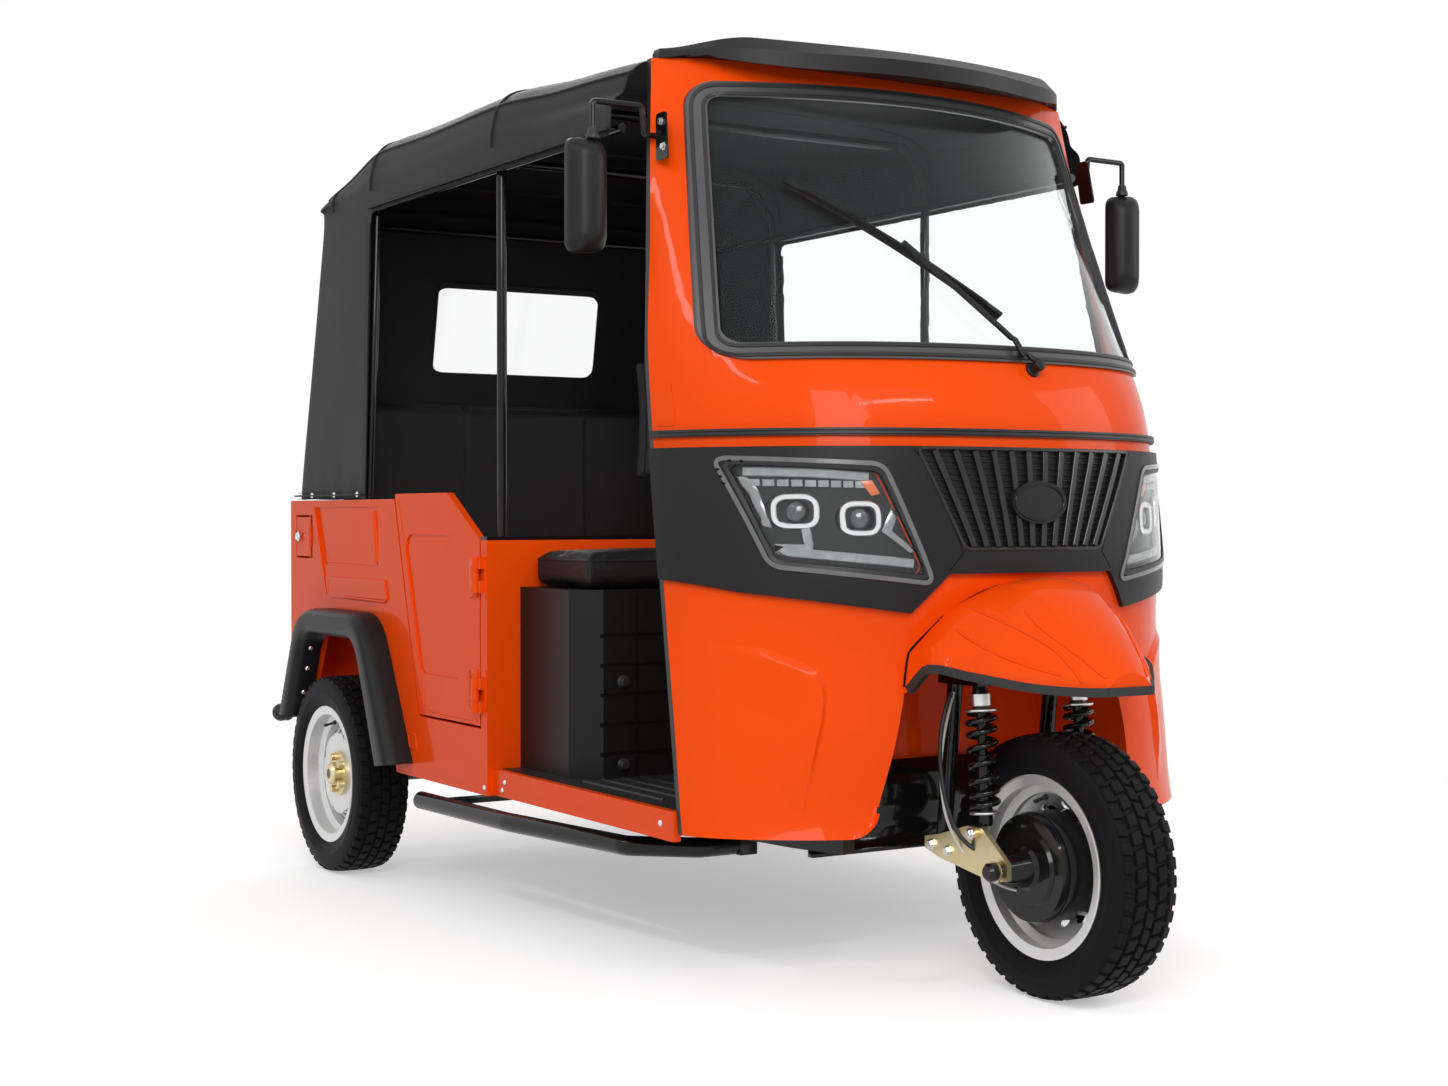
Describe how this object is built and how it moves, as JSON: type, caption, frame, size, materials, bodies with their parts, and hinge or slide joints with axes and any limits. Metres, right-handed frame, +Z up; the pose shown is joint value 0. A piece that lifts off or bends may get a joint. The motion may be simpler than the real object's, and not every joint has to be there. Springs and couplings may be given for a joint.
{
  "type": "auto rickshaw",
  "caption": "Three-wheeled passenger auto rickshaw with an open-sided moulded cab, half doors and a black fabric canopy.",
  "frame": {"origin": "on the ground, at the middle of the overall length and width", "axes": "+Z up, front of the vehicle towards -Y, its right-hand side towards -X"},
  "size_m": [1.468, 2.7299, 1.8519],
  "materials": {
    "orange_paint": "gloss orange-red paint",
    "black_plastic": "matte textured black moulding",
    "black_paint": "gloss black paint on steel",
    "black_rubber": "black rubber",
    "tyre_rubber": "road tyre",
    "rim_silver": "silver wheel paint",
    "zinc_gold": "yellow zinc plate",
    "canopy_fabric": "coated black canvas",
    "seat_vinyl": "black grained vinyl",
    "clear_glass": "laminated windscreen glass",
    "clear_lens": "clear moulded lens",
    "lamp_bowl": "bright reflector",
    "red_lens": "red lamp lens"
  },
  "bodies": {
    "root": {"cab_shell": "orange_paint", "windscreen_seal": "black_rubber", "windscreen": "clear_glass", "belt_moulding": "black_rubber", "headlamp_band": "black_plastic", "grille": "black_plastic", "headlamp_lenses": "clear_lens", "headlamp_units": "lamp_bowl", "roof_visor": "black_plastic", "front_mudguard": "orange_paint", "wheel_well": "orange_paint", "pillar_trims": "black_rubber", "dashboard": "black_plastic", "floor_pan": "black_paint", "floor_mat": "black_rubber", "sills": "orange_paint", "chassis_frame": "black_paint", "head_frame": "black_paint", "side_panel_right": "orange_paint", "side_panel_left": "orange_paint", "tail_panel": "orange_paint", "wheel_houses": "orange_paint", "arch_flares": "black_plastic", "bulkhead": "orange_paint", "bulkhead_cap": "black_paint", "door_hinges": "orange_paint", "driver_seat_box": "black_plastic", "driver_seat_cushion": "seat_vinyl", "driver_backrest": "seat_vinyl", "bench_base": "black_paint", "bench_cushion": "seat_vinyl", "bench_backrest": "seat_vinyl", "canopy_roof": "canopy_fabric", "canopy_rear": "canopy_fabric", "rear_window": "clear_lens", "canopy_frame": "black_paint", "side_steps": "black_paint", "rear_bumper": "black_paint", "mirror_arms": "black_paint", "mirror_housings": "black_plastic", "wiper": "black_paint", "rear_axle": "black_paint", "tail_lamps": "red_lens"},
    "steering": {"fork": "black_paint", "front_axle": "black_paint", "handlebar": "black_paint", "leading_links": "zinc_gold", "shock_absorbers": "black_paint"},
    "front_wheel": {"front_tyre": "tyre_rubber", "front_rim": "rim_silver", "front_hub": "black_paint"},
    "rear_right_wheel": {"rear_right_tyre": "tyre_rubber", "rear_right_rim": "rim_silver", "rear_right_hub": "zinc_gold"},
    "rear_left_wheel": {"rear_left_tyre": "tyre_rubber", "rear_left_rim": "rim_silver", "rear_left_hub": "zinc_gold"},
    "right_door": {"door_right": "orange_paint"},
    "left_door": {"door_left": "orange_paint"},
    "lid": {"filler_lid": "orange_paint"}
  },
  "joints": [
    {"name": "steering_turn", "type": "hinge", "parent": "root", "child": "steering", "pos_m": [0, -0.955, 0.62], "axis": [0, 0.309, 0.9511], "range_deg": [-38, 38]},
    {"name": "front_wheel_spin", "type": "hinge", "parent": "steering", "child": "front_wheel", "pos_m": [0, -1.12, 0.245], "axis": [1, 0, 0], "continuous": true},
    {"name": "rear_right_wheel_spin", "type": "hinge", "parent": "root", "child": "rear_right_wheel", "pos_m": [-0.605, 0.88, 0.245], "axis": [1, 0, 0], "continuous": true},
    {"name": "rear_left_wheel_spin", "type": "hinge", "parent": "root", "child": "rear_left_wheel", "pos_m": [0.605, 0.88, 0.245], "axis": [1, 0, 0], "continuous": true},
    {"name": "right_door_swing", "type": "hinge", "parent": "root", "child": "right_door", "pos_m": [-0.632, 0.068, 0.63], "axis": [0, 0, 1], "range_deg": [0, 100]},
    {"name": "left_door_swing", "type": "hinge", "parent": "root", "child": "left_door", "pos_m": [0.632, 0.068, 0.63], "axis": [0, 0, -1], "range_deg": [0, 100]},
    {"name": "filler_lid_swing", "type": "hinge", "parent": "root", "child": "lid", "pos_m": [-0.62096, 1.0988, 0.836], "axis": [0, 0, 1], "range_deg": [0, 95]}
  ]
}
